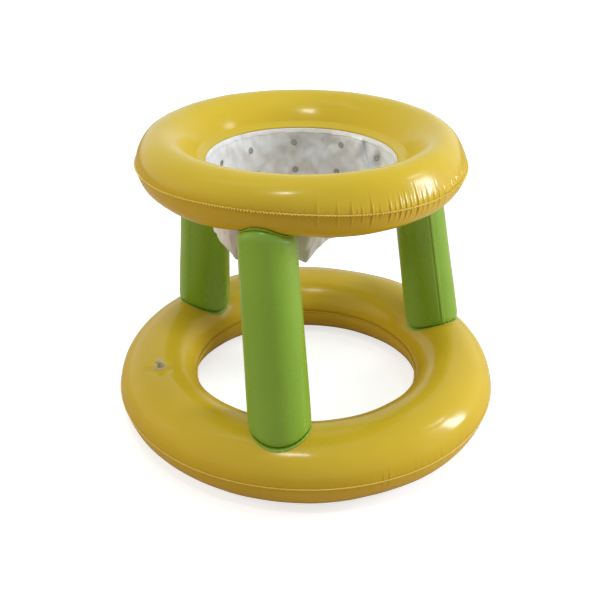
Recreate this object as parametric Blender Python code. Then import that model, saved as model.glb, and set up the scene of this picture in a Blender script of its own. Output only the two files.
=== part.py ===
"""Floating basketball hoop for a pool, blown up and ready to play.

Two air rings of welded vinyl film lie one above the other: a wide base ring
that floats and a smaller hoop ring.  Three blown-up legs stand on the crest of
the base ring, lean inwards and carry the hoop ring.  A thin sheet skirt hangs
as the net from the inner weld of the hoop ring.  Each ring has a push-in valve.

Lengths are metres and angles are degrees, counted from +X towards +Y.  +Z is
up, and the origin is on the floor below the middle of the base ring.  A name
that ends in share or shares is a part of the size beside it.
"""

import math
from dataclasses import dataclass

import bmesh
import bpy
import numpy as np
from mathutils import Matrix, Vector

# Base ring
BASE_DIAMETER = 0.670  # across the blown-up tube, without the welded rim
BASE_TUBE_WIDTH = 0.1344
BASE_TUBE_HEIGHT = 0.1195  # film to film, without the weld in the middle
BASE_REST_WIDTH = 0.028  # strip that the floor presses flat

# Hoop ring
HOOP_DIAMETER = 0.525  # across the blown-up tube, without the welded rim
HOOP_OUTER_REACH = 0.0414  # from the tube's crest out to the seam
HOOP_INNER_REACH = 0.0530  # from the crest in to the pointed inner edge
HOOP_TUBE_HEIGHT = 0.0884
HOOP_TOP = 0.5126  # crest of the hoop ring over the floor
HOOP_SIDE_SHIFT = -0.0101  # the soft legs let the hoop sit off the middle
HOOP_WELD_WIDTH = 0.0146  # inner weld, which carries the skirt
HOOP_WELD_DROOP = 0.0040  # the skirt's weight pulls its edge down
PRESS_DEPTH = 0.0080  # how far a leg presses the soft ring's underside up
PRESS_SPREAD = 16.0  # degrees to each side of the leg

# Film and welds
FILM = 0.0004
RIM_WIDTH = 0.0020  # welded rim outside each ring, and inside the base ring
FIT_GAP = 0.0003  # between pieces that touch
OVERRUN = 0.0080  # how far a cutting shape runs past what it cuts

# Legs
LEG_FOOT_ANGLES = {"front": 261.0, "right": 21.5, "left": 141.5}
LEG_TOP_ANGLES = {"front": 257.5, "right": 28.5, "left": 140.8}
LEG_FOOT_INSET = 0.0098  # how far inside the base ring's crest a foot sits
LEG_FOOT_DIAMETER = 0.0990
LEG_TOP_DIAMETER = 0.0830
FOOT_DRAW_IN = 0.0045  # how far the tube's wall comes in at its foot weld
TOP_DRAW_IN = 0.00425
FOOT_SHOULDER = 0.0160  # height of the rounded end above the weld
TOP_SHOULDER = 0.0160
FOOT_DISC_RIM = 0.00325  # of the disc, past the weld
TOP_DISC_RIM = 0.00125
SEAT_DEPTH = 0.0010  # how far a leg's end runs into a ring before it is cut
AIR_PORT_DIAMETER = 0.0100  # lets the base ring's air into the leg

# Net skirt
SHEET = 0.0004
SKIRT_DROP = 0.1420  # from the weld to the lowest point of the hem
SKIRT_WELD_OVERLAP = 0.0110  # of the skirt's turned edge, under the ring's weld
SKIRT_TAPER = 0.0100  # how much narrower the hem is than the top
HOLE_DIAMETER = 0.0110
HOLE_ROW_DEPTHS = (0.0270, 0.0760)
HOLE_FIRST_ANGLES = (32.0, 32.0)
HOLES_PER_ROW = 12

# How far the hem hangs at each angle, as a share of the full drop
HEM_DROP_SHARES = (
    (0.0, 0.660), (20.0, 0.695), (60.0, 0.765), (95.0, 0.835), (130.0, 0.885),
    (160.0, 0.835), (190.0, 0.800), (209.0, 0.863), (222.0, 0.935), (240.0, 1.000),
    (255.0, 0.920), (267.0, 0.790), (273.0, 0.807), (280.0, 0.680), (288.0, 0.580),
    (320.0, 0.580),
)
# Main folds: angle, half width in degrees, and how far the hem moves outwards
# as a share of the hole's radius
FOLD_SHARES = (
    (133.0, 9.0, -0.045), (146.0, 9.0, 0.020), (39.0, 9.0, -0.090), (54.0, 10.0, 0.030),
    (273.0, 8.0, 0.060), (261.0, 9.0, -0.055), (236.0, 14.0, 0.030), (222.0, 9.0, -0.025),
    (96.0, 14.0, 0.025), (80.0, 9.0, -0.030), (180.0, 16.0, 0.020), (325.0, 36.0, -0.100),
)

# Valves, one in the crest of the base ring and one under the hoop ring
BASE_VALVE_ANGLE = 201.0
HOOP_VALVE_ANGLE = 81.0
VALVE_FLANGE_DIAMETER = 0.0270
VALVE_FLANGE_THICKNESS = 0.0008
COLLAR_DIAMETER = 0.0124
COLLAR_BORE = 0.0098
COLLAR_STANDS = 0.0016  # collar over the ring's film
COLLAR_REACHES = 0.0040  # collar below the ring's film
STEM_DIAMETER = 0.0092
STEM_BORE = 0.0056
STEM_STANDS = 0.0106  # stem over the ring's film when it is pulled out
STEM_LENGTH = 0.0200
LIP_DIAMETER = 0.0112
LIP_THICKNESS = 0.0012
PLUG_DIAMETER = 0.0130
PLUG_THICKNESS = 0.0015
PLUG_NOSE_ROOT = 0.0050
PLUG_NOSE_TIP = 0.0038
PLUG_NOSE_LENGTH = 0.0030
HINGE_REACH = 0.0086  # from the stem's axis to the plug's bending line
HINGE_WIDTH = 0.0040
FLAP_DIAMETER = 0.0080
FLAP_THICKNESS = 0.0005
FLAP_HINGE_REACH = 0.0043

# Fineness of the facets
RING_STEPS = 44
QUARTER_STEPS = 4
LEG_STEPS = 20
SHOULDER_STEPS = 3
DISC_STEPS = 20
SKIRT_STEPS = 60
SKIRT_ROW_SHARES = (0.0, 0.08, 0.34, 0.66, 1.0)
HOLE_STEPS = 6
VALVE_STEPS = 16
SEAT_PASSES = 8

FULL_TURN = 2.0 * math.pi
UP = Vector((0.0, 0.0, 1.0))


@dataclass
class Ring:
    """An air ring of an upper and a lower skin, welded in one level plane."""

    centre: Vector  # on the seam's plane
    crest: float  # radius of the tube's top and bottom lines
    outer_reach: float
    inner_reach: float
    half_height: float  # of one skin, over its weld
    pointed: bool  # whether the inner edge comes to a point
    rest_half: float  # half the strip on which it rests
    rim_width: float
    inner_weld: float
    droop: float
    press_depth: float  # of the legs, in the underside


def make_rings():
    """The two rings, from the driving sizes."""
    weld = FIT_GAP / 2 + FILM
    reach = BASE_TUBE_WIDTH / 2
    half = BASE_TUBE_HEIGHT / 2
    rest_half = BASE_REST_WIDTH / 2
    rest_drop = half * math.sin(math.acos(rest_half / reach))
    base = Ring(Vector((0.0, 0.0, rest_drop + weld)), BASE_DIAMETER / 2 - reach, reach,
                reach, half, False, rest_half, RIM_WIDTH, RIM_WIDTH, 0.0, 0.0)
    half = HOOP_TUBE_HEIGHT / 2
    hoop = Ring(Vector((HOOP_SIDE_SHIFT, 0.0, HOOP_TOP - half - weld)),
                HOOP_DIAMETER / 2 - HOOP_OUTER_REACH, HOOP_OUTER_REACH, HOOP_INNER_REACH,
                half, True, 0.0, RIM_WIDTH, HOOP_WELD_WIDTH, HOOP_WELD_DROOP, PRESS_DEPTH)
    return base, hoop


# Outlines

def half_section(ring, side):
    """A skin's outer face as radius and height: outer seam, crest, inner seam."""
    rest_half = ring.rest_half if side < 0 else 0.0
    weld = FIT_GAP / 2 + FILM
    outer_end = math.acos(rest_half / ring.outer_reach)
    inner_end = math.acos(rest_half / ring.inner_reach)
    points = []
    for step in range(QUARTER_STEPS + 1):
        turn = outer_end * step / QUARTER_STEPS
        radius = ring.crest + ring.outer_reach * math.cos(turn)
        points.append((radius, side * (weld + ring.half_height * math.sin(turn))))
    last = QUARTER_STEPS if rest_half > 0 else QUARTER_STEPS - 1
    for step in range(last, -1, -1):
        turn = inner_end * step / QUARTER_STEPS
        rise = math.sin(turn) ** 2 if ring.pointed else math.sin(turn)
        radius = ring.crest - ring.inner_reach * math.cos(turn)
        points.append((radius, side * (weld + ring.half_height * rise)))
    return np.array(points)


def offset_outline(points, distance, closed):
    """Moves an outline to its left so that every stretch stays parallel."""
    ahead = np.roll(points, -1, axis=0) - points
    ahead /= np.linalg.norm(ahead, axis=1)[:, None]
    left = np.stack([-ahead[:, 1], ahead[:, 0]], axis=1)
    behind = np.roll(left, 1, axis=0)
    if not closed:
        behind[0] = left[0]
        left[-1] = left[-2]
        behind[-1] = left[-2]
    mitre = (left + behind) / (1.0 + (left * behind).sum(axis=1))[:, None]
    return points + distance * mitre


def run_to_height(end, neighbour, height):
    """The point at a height on the line through two points."""
    share = (height - end[1]) / (neighbour[1] - end[1])
    return end + share * (neighbour - end)


def skin_outline(ring, side):
    """The closed section of one skin with its welded rims."""
    outer = half_section(ring, side)
    inner = offset_outline(outer, side * FILM, closed=False)
    weld_face = side * FIT_GAP / 2
    inner[0] = run_to_height(inner[0], inner[1], weld_face)
    inner[-1] = run_to_height(inner[-1], inner[-2], weld_face)
    rim = outer[0, 0] + ring.rim_width
    tip = outer[-1, 0] - ring.inner_weld
    weld_back = side * (FIT_GAP / 2 + FILM)
    outside = [(rim, weld_back), *outer, (tip, weld_back - ring.droop)]
    inside = [(tip, weld_face - ring.droop), *inner[::-1], (rim, weld_face)]
    return [tuple(point) for point in outside + inside]


def envelope_outline(ring, distance):
    """The closed section of the blown-up tube, grown by a distance."""
    upper = half_section(ring, 1)
    lower = half_section(ring, -1)
    outline = np.concatenate([upper, lower[::-1]])
    return [tuple(point) for point in offset_outline(outline, -distance, closed=True)]


def press_lift(ring, across):
    """How far the legs press the underside up, at a place across the ring."""
    reach = ring.outer_reach if across.length > ring.crest else ring.inner_reach
    share = max(0.0, 1.0 - ((across.length - ring.crest) / reach) ** 2)
    angle = math.degrees(math.atan2(across.y, across.x))
    total = 0.0
    for leg_angle in LEG_TOP_ANGLES.values():
        away = (angle - leg_angle + 180.0) % 360.0 - 180.0
        total += math.exp(-(away / PRESS_SPREAD) ** 2)
    return ring.press_depth * share * total


def seat_height(ring, side, point):
    """Height of the ring's upper or lower face over a place in plan."""
    outline = half_section(ring, side)[::-1]
    across = (point - ring.centre).xy
    height = float(np.interp(across.length, outline[:, 0], outline[:, 1]))
    if side < 0:
        height += press_lift(ring, across)
    return ring.centre.z + height


def slide_to_ring(ring, side, point, axis):
    """Moves a point along an axis until it lies on the ring's face."""
    place = point.copy()
    for _ in range(SEAT_PASSES):
        place += axis * ((seat_height(ring, side, place) - place.z) / axis.z)
    return place


def crest_point(ring, side, angle):
    """The point of the tube's top or bottom line at an angle."""
    turn = math.radians(angle)
    level = side * (FIT_GAP / 2 + FILM + ring.half_height)
    place = ring.centre + ring.crest * Vector((math.cos(turn), math.sin(turn), 0.0))
    place.z += level
    if side < 0:
        place.z += press_lift(ring, (place - ring.centre).xy)
    return place


# Making of meshes and objects

def make_material(name, colour, roughness, transmission=0.0):
    material = bpy.data.materials.new(name)
    material.use_nodes = True
    shader = material.node_tree.nodes["Principled BSDF"]
    shader.inputs["Base Color"].default_value = (*colour, 1.0)
    shader.inputs["Roughness"].default_value = roughness
    shader.inputs["Metallic"].default_value = 0.0
    shader.inputs["Transmission Weight"].default_value = transmission
    return material


def add_object(name, bm, finish, matrix=None, parent=None):
    """Turns a bmesh into a named object with a material of its own."""
    bmesh.ops.recalc_face_normals(bm, faces=bm.faces)
    mesh = bpy.data.meshes.new(name)
    bm.to_mesh(mesh)
    bm.free()
    mesh.shade_smooth()
    mesh.set_sharp_from_angle(angle=math.radians(35.0))
    item = bpy.data.objects.new(name, mesh)
    bpy.context.collection.objects.link(item)
    if finish:
        mesh.materials.append(make_material(name, *finish))
    if parent:
        item.parent = parent
    if matrix:
        item.matrix_local = matrix
    return item


def add_cutter(name, bm, matrix=None):
    """A shape that only cuts others."""
    item = add_object(name, bm, None, matrix)
    item.display_type = "WIRE"
    item.hide_render = True
    return item


def cut(item, cutter, operation="DIFFERENCE"):
    modifier = item.modifiers.new(cutter.name, "BOOLEAN")
    modifier.operation = operation
    modifier.solver = "EXACT"
    modifier.object = cutter


def revolve(outline, steps):
    """Spins a closed section of radius and height about Z."""
    bm = bmesh.new()
    verts = [bm.verts.new((radius, 0.0, height)) for radius, height in outline]
    edges = [bm.edges.new(pair) for pair in zip(verts, verts[1:] + verts[:1])]
    bmesh.ops.spin(bm, geom=verts + edges, cent=(0.0, 0.0, 0.0), axis=UP, angle=FULL_TURN,
                   steps=steps, use_merge=True, use_duplicate=False)
    return bm


def revolve_ring(ring, outline):
    """Spins a ring's section and presses its underside up at the legs."""
    bm = revolve(outline, RING_STEPS)
    for vert in bm.verts:
        if vert.co.z < 0.0:
            vert.co.z += press_lift(ring, vert.co.xy)
    bmesh.ops.triangulate(bm, faces=bm.faces, quad_method="SHORT_EDGE")
    return bm


def turned(profile, steps):
    """A solid turned about Z from its profile, bottom first, with flat ends."""
    bm = bmesh.new()
    rows = []
    for radius, height in profile:
        row = bmesh.ops.create_circle(bm, segments=steps, radius=radius,
                                      matrix=Matrix.Translation((0.0, 0.0, height)))
        rows.append(row["verts"])
    bridge_rows(bm, rows)
    bm.faces.new(rows[0])
    bm.faces.new(rows[-1])
    return bm


def bridge_rows(bm, rows):
    """Joins rows of as many vertices each with quads."""
    for row, following in zip(rows, rows[1:]):
        for index, vert in enumerate(row):
            beside = (index + 1) % len(row)
            bm.faces.new((vert, row[beside], following[beside], following[index]))


def box(low, high):
    """A block between two corners."""
    middle = (Vector(low) + Vector(high)) / 2
    size = Vector(high) - Vector(low)
    bm = bmesh.new()
    bmesh.ops.create_cube(bm, size=1.0, matrix=Matrix.LocRotScale(middle, None, size))
    return bm


def join_into(bm, other):
    """Adds a second bmesh to the first."""
    mesh = bpy.data.meshes.new("joined")
    other.to_mesh(mesh)
    other.free()
    bm.from_mesh(mesh)
    bpy.data.meshes.remove(mesh)


def axis_frame(origin, axis):
    """A matrix at a point, with its Z along an axis."""
    turn = axis.to_track_quat("Z", "Y")
    return Matrix.LocRotScale(origin, turn, None)


# Rings

def build_ring(name, ring):
    """Both skins of a ring, each an object of its own."""
    skins = {}
    for side, word in ((1, "upper"), (-1, "lower")):
        bm = revolve_ring(ring, skin_outline(ring, side))
        skins[side] = add_object(f"{name}_{word}_skin", bm, YELLOW,
                                 Matrix.Translation(ring.centre))
    return skins


def build_envelope(name, ring, distance):
    """The tube's shape grown by a distance, to fit other pieces to it."""
    bm = revolve_ring(ring, envelope_outline(ring, distance))
    return add_cutter(name, bm, Matrix.Translation(ring.centre))


# Legs

def leg_axis(base, hoop, name):
    """The leg's seats on the two rings, and the direction from foot to top."""
    turn = math.radians(LEG_FOOT_ANGLES[name])
    reach = base.crest - LEG_FOOT_INSET
    foot = base.centre + reach * Vector((math.cos(turn), math.sin(turn), 0.0))
    foot.z = seat_height(base, 1, foot)
    top = crest_point(hoop, -1, LEG_TOP_ANGLES[name])
    return foot, top, (top - foot).normalized()


def shoulder_rows(neck, body, height):
    """Radius and height of each row of a rounded end, weld first."""
    rows = []
    for step in range(SHOULDER_STEPS + 1):
        turn = math.pi / 2 * step / SHOULDER_STEPS
        radius = neck + (body - neck) * math.sin(turn)
        rows.append((radius, height * (1.0 - math.cos(turn))))
    return rows


def seat_offsets(frame, ring, side, radius):
    """Where the ring's face crosses lines along the leg, at places round it."""
    offsets = []
    axis = frame.col[2].xyz
    for step in range(LEG_STEPS):
        turn = FULL_TURN * step / LEG_STEPS
        start = frame @ Vector((radius * math.cos(turn), radius * math.sin(turn), 0.0))
        seat = slide_to_ring(ring, side, start, axis)
        offsets.append((seat - start).dot(axis))
    return offsets


def leg_row(frame, radius, offsets):
    """One row round the leg, with each place's offset along its axis."""
    turns = [FULL_TURN * step / LEG_STEPS for step in range(LEG_STEPS)]
    return [frame @ Vector((radius * math.cos(turn), radius * math.sin(turn), offset))
            for turn, offset in zip(turns, offsets)]


def sealed_rows(rows):
    """A body round rows of places, with both ends closed by triangles."""
    bm = bmesh.new()
    verts = [[bm.verts.new(place) for place in row] for row in rows]
    bridge_rows(bm, verts)
    for row in (verts[0], verts[-1]):
        middle = bm.verts.new(sum((vert.co for vert in row), Vector()) / len(row))
        for vert, following in zip(row, row[1:] + row[:1]):
            bm.faces.new((vert, following, middle))
    return bm


def leg_end_rows(frame, ring, side, neck, body, shoulder, inset, depth):
    """Rows of one end of the leg, from inside the ring to the leg's full width."""
    seats = seat_offsets(frame, ring, side, neck)
    rows = [leg_row(frame, neck - inset, [seat - side * depth for seat in seats])]
    for radius, rise in shoulder_rows(neck, body, shoulder):
        rows.append(leg_row(frame, radius - inset, [seat + side * rise for seat in seats]))
    return rows


def leg_body(foot_frame, top_frame, base, hoop, inset, depth):
    """The leg as a closed body that runs into both rings."""
    foot = LEG_FOOT_DIAMETER / 2
    top = LEG_TOP_DIAMETER / 2
    rows = leg_end_rows(foot_frame, base, 1, foot - FOOT_DRAW_IN, foot, FOOT_SHOULDER,
                        inset, depth)
    rows += reversed(leg_end_rows(top_frame, hoop, -1, top - TOP_DRAW_IN, top, TOP_SHOULDER,
                                  inset, depth))
    return sealed_rows(rows)


def build_leg_tube(name, foot_frame, top_frame, base, hoop, base_fit, hoop_fit):
    """A tube of film with rounded ends, cut to the shape of both rings."""
    outside = leg_body(foot_frame, top_frame, base, hoop, 0.0, SEAT_DEPTH)
    inside = leg_body(foot_frame, top_frame, base, hoop, FILM, 2 * SEAT_DEPTH)
    tube = add_object(f"{name}_leg_tube", outside, GREEN)
    cut(tube, base_fit)
    cut(tube, hoop_fit)
    cut(tube, add_cutter(f"{name}_leg_inside", inside))


def build_leg_disc(name, frame, ring, side, radius, near, far):
    """A disc of film on a ring's face: what lies between two grown envelopes."""
    seats = seat_offsets(frame, ring, side, radius)
    level = Matrix.Identity(4)
    inner = leg_row(level, radius, [seat - side * SEAT_DEPTH for seat in seats])
    outer = leg_row(level, radius, [side * OVERRUN] * LEG_STEPS)
    disc = add_object(name, sealed_rows([inner, outer]), GREEN, frame)
    cut(disc, far, "INTERSECT")
    cut(disc, near)
    return disc


def build_legs(base, hoop, skins):
    """Three legs, each a tube between a foot disc and a top disc."""
    disc_near = FIT_GAP
    disc_far = disc_near + FILM
    tube_fit = disc_far + FIT_GAP
    base_near = build_envelope("base_disc_under", base, disc_near)
    base_far = build_envelope("base_disc_over", base, disc_far)
    base_fit = build_envelope("base_tube_end", base, tube_fit)
    hoop_near = build_envelope("hoop_disc_under", hoop, disc_near)
    hoop_far = build_envelope("hoop_disc_over", hoop, disc_far)
    hoop_fit = build_envelope("hoop_tube_end", hoop, tube_fit)
    for name in LEG_FOOT_ANGLES:
        foot, top, axis = leg_axis(base, hoop, name)
        foot_frame = axis_frame(foot, axis)
        top_frame = axis_frame(top, axis)
        port_bm = turned([(AIR_PORT_DIAMETER / 2, -OVERRUN), (AIR_PORT_DIAMETER / 2, OVERRUN)],
                         VALVE_STEPS)
        port = add_cutter(f"{name}_air_port", port_bm, foot_frame)
        build_leg_tube(name, foot_frame, top_frame, base, hoop, base_fit, hoop_fit)
        foot_radius = LEG_FOOT_DIAMETER / 2 - FOOT_DRAW_IN + FOOT_DISC_RIM
        foot_disc = build_leg_disc(f"{name}_leg_foot_disc", foot_frame, base, 1, foot_radius,
                                   base_near, base_far)
        top_radius = LEG_TOP_DIAMETER / 2 - TOP_DRAW_IN + TOP_DISC_RIM
        build_leg_disc(f"{name}_leg_top_disc", top_frame, hoop, -1, top_radius, hoop_near,
                       hoop_far)
        cut(foot_disc, port)
        cut(skins[1], port)


# Net skirt

def skirt_radius(hoop):
    """Radius of the skirt's bend, just under the edge of the ring's weld."""
    return hoop.crest - hoop.inner_reach - hoop.inner_weld + SHEET


def hem_drop(angle):
    """How far the hem hangs below the bend, at an angle in degrees."""
    angles = [point[0] for point in HEM_DROP_SHARES]
    shares = [point[1] for point in HEM_DROP_SHARES]
    return SKIRT_DROP * float(np.interp(angle, angles, shares, period=360.0))


def fold_share(angle):
    """How far the folds move the hem outwards, as a share of the radius."""
    total = 0.0
    for middle, half_width, share in FOLD_SHARES:
        away = (angle - middle + 180.0) % 360.0 - 180.0
        total += share * math.exp(-(away / half_width) ** 2)
    return total


def skirt_place(hoop, angle, depth_share):
    """A point of the hanging sheet, below the bend."""
    turn = math.radians(angle)
    top = skirt_radius(hoop)
    radius = top - SKIRT_TAPER * depth_share + top * fold_share(angle) * depth_share ** 1.5
    level = skirt_bend_height(hoop) - hem_drop(angle) * depth_share
    return Vector((radius * math.cos(turn), radius * math.sin(turn), level))


def weld_under_height(hoop, radius):
    """Under face of the ring's drooping inner weld, at a radius."""
    root = hoop.crest - hoop.inner_reach
    return -(FIT_GAP / 2 + FILM) - hoop.droop * (root - radius) / hoop.inner_weld


def skirt_bend_height(hoop):
    return weld_under_height(hoop, skirt_radius(hoop)) - FIT_GAP - SHEET


def skirt_rows(hoop):
    """Rows of the sheet's middle face, the turned edge first."""
    edge = skirt_radius(hoop) + SKIRT_WELD_OVERLAP
    edge_height = weld_under_height(hoop, edge) - FIT_GAP - SHEET
    angles = [360.0 * step / SKIRT_STEPS for step in range(SKIRT_STEPS)]
    rows = [[Vector((edge * math.cos(math.radians(angle)), edge * math.sin(math.radians(angle)),
                     edge_height)) for angle in angles]]
    for share in SKIRT_ROW_SHARES:
        rows.append([skirt_place(hoop, angle, share) for angle in angles])
    return rows


def build_hole_punch(hoop):
    """Round punches through the skirt, in rows round it."""
    bm = bmesh.new()
    reach = skirt_radius(hoop)
    for depth, first in zip(HOLE_ROW_DEPTHS, HOLE_FIRST_ANGLES):
        for step in range(HOLES_PER_ROW):
            turn = math.radians(first + 360.0 * step / HOLES_PER_ROW)
            across = Vector((math.cos(turn), math.sin(turn), 0.0))
            start = across * reach / 2 + UP * (skirt_bend_height(hoop) - depth)
            punch = turned([(HOLE_DIAMETER / 2, 0.0), (HOLE_DIAMETER / 2, reach / 2 + OVERRUN)],
                           HOLE_STEPS)
            bmesh.ops.transform(punch, matrix=axis_frame(start, across), verts=punch.verts)
            join_into(bm, punch)
    return add_cutter("hole_punch", bm, Matrix.Translation(hoop.centre))


def build_skirt(hoop):
    bm = bmesh.new()
    rows = [[bm.verts.new(place) for place in row] for row in skirt_rows(hoop)]
    bridge_rows(bm, rows)
    skirt = add_object("net_skirt", bm, WHITE, Matrix.Translation(hoop.centre))
    wall = skirt.modifiers.new("wall", "SOLIDIFY")
    wall.thickness = SHEET
    wall.offset = 0.0
    cut(skirt, build_hole_punch(hoop))


# Valves

def build_valve_seat(name, frame, near, far, hole):
    """A flange under the film and the collar that stands through it."""
    radius = VALVE_FLANGE_DIAMETER / 2
    flange_bm = turned([(radius, -OVERRUN), (radius, OVERRUN)], DISC_STEPS)
    flange = add_object(f"{name}_valve_seat", flange_bm, CLEAR, frame)
    cut(flange, near, "INTERSECT")
    cut(flange, far)
    radius = COLLAR_DIAMETER / 2
    collar_bm = turned([(radius, -COLLAR_REACHES), (radius, COLLAR_STANDS)], VALVE_STEPS)
    cut(flange, add_cutter(f"{name}_collar", collar_bm, frame), "UNION")
    cut(flange, hole)


def build_stem(name, frame):
    """A short tube with a lip and an ear that carries the plug's strap."""
    bottom = STEM_STANDS - STEM_LENGTH
    radius = STEM_DIAMETER / 2
    lip = LIP_DIAMETER / 2
    lip_under = STEM_STANDS - LIP_THICKNESS
    profile = [(radius, bottom), (radius, lip_under), (lip, lip_under), (lip, STEM_STANDS)]
    stem = add_object(f"{name}_valve_stem", turned(profile, VALVE_STEPS), CLEAR, frame)
    half = HINGE_WIDTH / 2
    ear = add_cutter(f"{name}_ear", box((radius, -half, lip_under + FIT_GAP),
                                        (HINGE_REACH - FIT_GAP, half, STEM_STANDS)), frame)
    cut(stem, ear, "UNION")
    bore = STEM_BORE / 2
    bore_bm = turned([(bore, bottom - OVERRUN), (bore, STEM_STANDS + OVERRUN)], VALVE_STEPS)
    cut(stem, add_cutter(f"{name}_stem_bore", bore_bm, frame))
    return stem


def build_plug(name, stem):
    """A plug on a strap; its origin is on the strap's bending line."""
    shift = -HINGE_REACH
    lift = FIT_GAP / 2
    top = lift + PLUG_THICKNESS
    profile = [(PLUG_NOSE_TIP / 2, -PLUG_NOSE_LENGTH), (PLUG_NOSE_ROOT / 2, lift),
               (PLUG_DIAMETER / 2, lift), (PLUG_DIAMETER / 2, top)]
    bm = turned(profile, VALVE_STEPS)
    bmesh.ops.translate(bm, vec=(shift, 0.0, 0.0), verts=bm.verts)
    place = Matrix.Translation((HINGE_REACH, 0.0, STEM_STANDS + FIT_GAP / 2))
    plug = add_object(f"{name}_valve_plug", bm, CLEAR, place, stem)
    half = HINGE_WIDTH / 2
    start = shift + PLUG_DIAMETER / 2 - PLUG_THICKNESS
    strap = add_cutter(f"{name}_strap", box((start, -half, lift + FIT_GAP),
                                            (0.0, half, top - FIT_GAP)))
    strap.parent = stem
    strap.matrix_local = place
    cut(plug, strap, "UNION")


def build_flap(name, stem):
    """A thin flap that closes the stem's lower end; its origin is on its hinge."""
    top = -FIT_GAP / 2
    profile = [(FLAP_DIAMETER / 2, top - FLAP_THICKNESS), (FLAP_DIAMETER / 2, top)]
    bm = turned(profile, VALVE_STEPS)
    bmesh.ops.translate(bm, vec=(-FLAP_HINGE_REACH, 0.0, 0.0), verts=bm.verts)
    bottom = STEM_STANDS - STEM_LENGTH
    place = Matrix.Translation((FLAP_HINGE_REACH, 0.0, bottom - FIT_GAP / 2))
    add_object(f"{name}_valve_flap", bm, CLEAR, place, stem)


def build_valve(name, ring, side, angle, skin):
    """A push-in valve in a ring's crest line, facing away from the ring."""
    turn = math.radians(angle)
    outward = Vector((math.cos(turn), math.sin(turn), 0.0))
    columns = (outward, (side * UP).cross(outward), side * UP)
    rotation = Matrix(columns).transposed()
    frame = Matrix.LocRotScale(crest_point(ring, side, angle), rotation.to_quaternion(), None)
    near = build_envelope(f"{name}_flange_over", ring, -(FILM + FIT_GAP))
    far = build_envelope(f"{name}_flange_under", ring,
                         -(FILM + FIT_GAP + VALVE_FLANGE_THICKNESS))
    bore = COLLAR_BORE / 2
    bore_bm = turned([(bore, -OVERRUN), (bore, OVERRUN)], VALVE_STEPS)
    build_valve_seat(name, frame, near, far, add_cutter(f"{name}_collar_bore", bore_bm, frame))
    hole = COLLAR_DIAMETER / 2 + FIT_GAP
    hole_bm = turned([(hole, -OVERRUN), (hole, OVERRUN)], VALVE_STEPS)
    cut(skin, add_cutter(f"{name}_valve_hole", hole_bm, frame))
    stem = build_stem(name, frame)
    build_plug(name, stem)
    build_flap(name, stem)


YELLOW = ((0.660, 0.500, 0.050), 0.22)
GREEN = ((0.150, 0.250, 0.025), 0.25)
WHITE = ((0.680, 0.670, 0.690), 0.35)
CLEAR = ((0.600, 0.560, 0.400), 0.30, 0.5)


def main():
    for item in list(bpy.data.objects):
        bpy.data.objects.remove(item, do_unlink=True)
    base, hoop = make_rings()
    base_skins = build_ring("base_ring", base)
    hoop_skins = build_ring("hoop_ring", hoop)
    build_legs(base, hoop, base_skins)
    build_skirt(hoop)
    build_valve("base", base, 1, BASE_VALVE_ANGLE, base_skins[1])
    build_valve("hoop", hoop, -1, HOOP_VALVE_ANGLE, hoop_skins[-1])


main()
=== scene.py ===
import math
import random
import bmesh
import bpy
import numpy as np
from mathutils import Euler, Matrix, Vector, noise


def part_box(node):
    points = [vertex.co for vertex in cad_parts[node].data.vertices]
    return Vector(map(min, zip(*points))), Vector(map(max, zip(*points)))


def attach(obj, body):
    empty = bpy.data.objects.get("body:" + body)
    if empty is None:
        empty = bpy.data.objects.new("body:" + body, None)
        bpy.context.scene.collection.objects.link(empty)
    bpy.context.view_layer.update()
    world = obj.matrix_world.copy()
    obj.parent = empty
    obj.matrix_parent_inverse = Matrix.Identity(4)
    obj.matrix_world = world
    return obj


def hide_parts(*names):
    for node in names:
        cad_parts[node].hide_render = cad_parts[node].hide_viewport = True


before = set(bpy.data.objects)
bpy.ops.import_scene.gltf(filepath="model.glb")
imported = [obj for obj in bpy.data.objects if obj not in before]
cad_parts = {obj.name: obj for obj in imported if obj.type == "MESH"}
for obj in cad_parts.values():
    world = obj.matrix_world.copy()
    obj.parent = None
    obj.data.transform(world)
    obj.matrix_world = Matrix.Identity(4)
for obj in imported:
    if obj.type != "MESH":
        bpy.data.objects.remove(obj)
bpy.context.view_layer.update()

# Lengths are in metres. Angles are in degrees from +X, and turn left seen from above.

# Fineness
RING_SEGMENTS = 1800
RING_ROWS = 36
WELD_SEGMENTS = 3200
LEG_SEGMENTS = 256
SKIRT_SEGMENTS = 640
INNER_STEP = 3
LEG_ROWS = 44
SKIRT_ROWS = 36
BAND_ROWS = 6
VALVE_SEGMENTS = 48
HOLE_SEGMENTS = 28
RIM_SEGMENTS = 24
EIGHTHS_FROM = 300
MERGE = 0.000002
# The rows of a ring's section: an even share, and one that grows towards the inside
ROW_SHARES = (0.28, 0.72)

# Sections of the rings: a reach is measured from the crest, a half from the weld
FILM = 0.0004
WELD_BACK = 0.00055
RIM = 0.0020
BASE_REACH = 0.0672
BASE_HALF = 0.05975
REST_BLEND = 0.0008
HOOP_OUTER_REACH = 0.0414
HOOP_INNER_REACH = 0.0530
HOOP_HALF = 0.0442
HOOP_INNER_WELD = 0.0146
HOOP_DROOP = 0.0040
PRESS_DEPTH = 0.0080
PRESS_SPREAD = 16.0

# Welds: where they start and end beside the film's edge
WELD_IN = 0.0016
WELD_OUT = 0.0030
WELD_FLARE = 1.6
WELD_SIDE_REACH = 0.0015
INNER_WELD_SHORT = 0.0003
# Outer welds: how far they reach in front, and height and number of their waves
OUTER_WELDS = {"base": (0.0021, 0.00055, 460), "hoop": (0.0031, 0.00110, 370)}
# What makes the waves uneven: size, number and shift
WELD_DRIFT = ((0.9, 13.0, 0.0), (0.6, 29.0, 0.7))

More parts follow.
